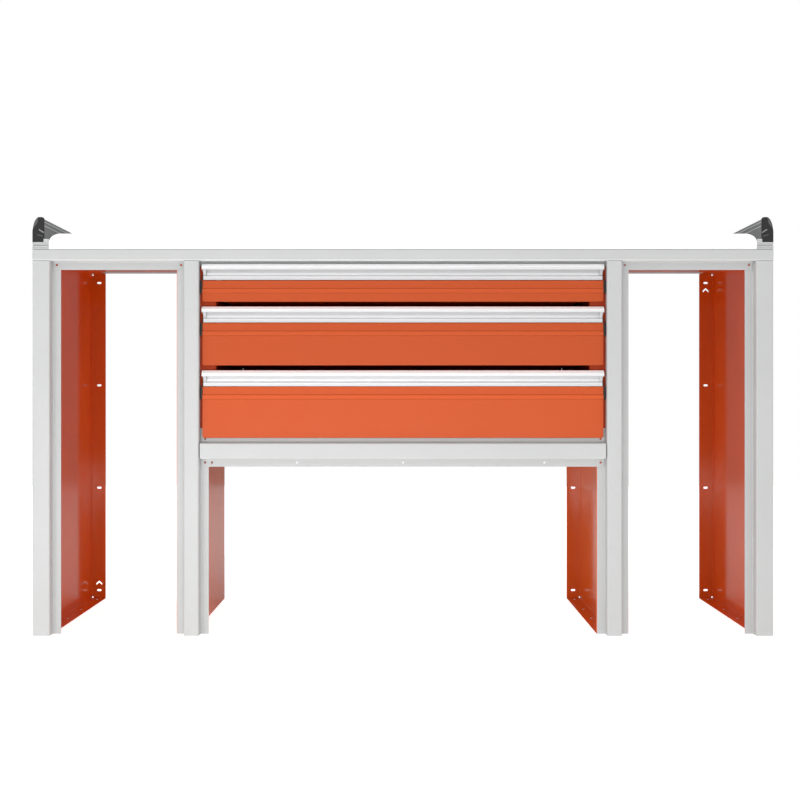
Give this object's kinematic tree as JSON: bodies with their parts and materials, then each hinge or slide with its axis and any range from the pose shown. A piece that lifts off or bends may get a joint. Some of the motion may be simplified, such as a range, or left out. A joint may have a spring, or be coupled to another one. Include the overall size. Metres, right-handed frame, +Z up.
{
  "type": "workbench with drawers",
  "caption": "Long steel workbench with drawers over a knee space, open side bays, a flat worktop and low end rails.",
  "frame": {"origin": "on the floor, under the middle of the bench's outline", "axes": "+X along the bench to its right-hand end, -Y to the front where the drawers open, +Z up"},
  "size_m": [1.705, 0.46, 0.9638],
  "materials": {
    "frame_paint": "light grey powder coat with a fine orange-peel texture, satin",
    "panel_paint": "dark orange-red paint, smooth and glossy",
    "drawer_paint": "orange powder coat, satin",
    "worktop_laminate": "white laminate on a board, satin",
    "handle_aluminium": "clear anodised extrusion, satin",
    "rail_aluminium": "grey anodised extrusion, satin",
    "cap_plastic": "charcoal moulded plastic, fine grained",
    "handle_end_plastic": "light grey moulded plastic",
    "runner_steel": "zinc plated, bright satin"
  },
  "bodies": {
    "bench": {"side_panel_outer_left": "panel_paint", "side_panel_inner_left": "panel_paint", "side_panel_inner_right": "panel_paint", "side_panel_outer_right": "panel_paint", "post_outer_left": "frame_paint", "post_outer_right": "frame_paint", "post_inner_left": "frame_paint", "post_inner_right": "frame_paint", "top_front_beam": "frame_paint", "lower_front_beam": "frame_paint", "lower_rear_beam": "frame_paint", "worktop": "worktop_laminate", "worktop_support_pan": "panel_paint", "rear_edge_angle": "frame_paint", "end_rail_base_left": "frame_paint", "end_rail_base_right": "frame_paint", "end_rail_left": "rail_aluminium", "end_rail_right": "rail_aluminium", "end_cap_front_left": "cap_plastic", "end_cap_front_right": "cap_plastic", "end_cap_rear_left": "cap_plastic", "end_cap_rear_right": "cap_plastic", "drawer_unit_wall_left": "panel_paint", "drawer_unit_wall_right": "panel_paint", "drawer_unit_floor": "frame_paint", "drawer_unit_back": "panel_paint", "drawer_1_runner_outer_left": "runner_steel", "drawer_1_runner_outer_right": "runner_steel", "drawer_2_runner_outer_left": "runner_steel", "drawer_2_runner_outer_right": "runner_steel", "drawer_3_runner_outer_left": "runner_steel", "drawer_3_runner_outer_right": "runner_steel"},
    "drawer_1": {"drawer_1_front": "drawer_paint", "drawer_1_box": "panel_paint", "drawer_1_handle": "handle_aluminium", "drawer_1_handle_end_left": "handle_end_plastic", "drawer_1_handle_end_right": "handle_end_plastic", "drawer_1_runner_inner_left": "runner_steel", "drawer_1_runner_inner_right": "runner_steel"},
    "drawer_1_runners": {"drawer_1_runner_middle_left": "runner_steel", "drawer_1_runner_middle_right": "runner_steel"},
    "drawer_2": {"drawer_2_front": "drawer_paint", "drawer_2_box": "panel_paint", "drawer_2_handle": "handle_aluminium", "drawer_2_handle_end_left": "handle_end_plastic", "drawer_2_handle_end_right": "handle_end_plastic", "drawer_2_runner_inner_left": "runner_steel", "drawer_2_runner_inner_right": "runner_steel"},
    "drawer_2_runners": {"drawer_2_runner_middle_left": "runner_steel", "drawer_2_runner_middle_right": "runner_steel"},
    "drawer_3": {"drawer_3_front": "drawer_paint", "drawer_3_box": "panel_paint", "drawer_3_handle": "handle_aluminium", "drawer_3_handle_end_left": "handle_end_plastic", "drawer_3_handle_end_right": "handle_end_plastic", "drawer_3_runner_inner_left": "runner_steel", "drawer_3_runner_inner_right": "runner_steel"},
    "drawer_3_runners": {"drawer_3_runner_middle_left": "runner_steel", "drawer_3_runner_middle_right": "runner_steel"}
  },
  "joints": [
    {"name": "drawer_1_slide", "type": "slide", "parent": "bench", "child": "drawer_1", "axis": [0, -1, 0], "range_m": [0, 0.38]},
    {"name": "drawer_1_runners_slide", "type": "slide", "parent": "bench", "child": "drawer_1_runners", "axis": [0, -1, 0], "range_m": [0, 0.19]},
    {"name": "drawer_2_slide", "type": "slide", "parent": "bench", "child": "drawer_2", "axis": [0, -1, 0], "range_m": [0, 0.38]},
    {"name": "drawer_2_runners_slide", "type": "slide", "parent": "bench", "child": "drawer_2_runners", "axis": [0, -1, 0], "range_m": [0, 0.19]},
    {"name": "drawer_3_slide", "type": "slide", "parent": "bench", "child": "drawer_3", "axis": [0, -1, 0], "range_m": [0, 0.38]},
    {"name": "drawer_3_runners_slide", "type": "slide", "parent": "bench", "child": "drawer_3_runners", "axis": [0, -1, 0], "range_m": [0, 0.19]}
  ],
  "couplings": [
    {"joint": "drawer_1_runners_slide", "follows": "drawer_1_slide", "ratio": 0.5},
    {"joint": "drawer_2_runners_slide", "follows": "drawer_2_slide", "ratio": 0.5},
    {"joint": "drawer_3_runners_slide", "follows": "drawer_3_slide", "ratio": 0.5}
  ]
}
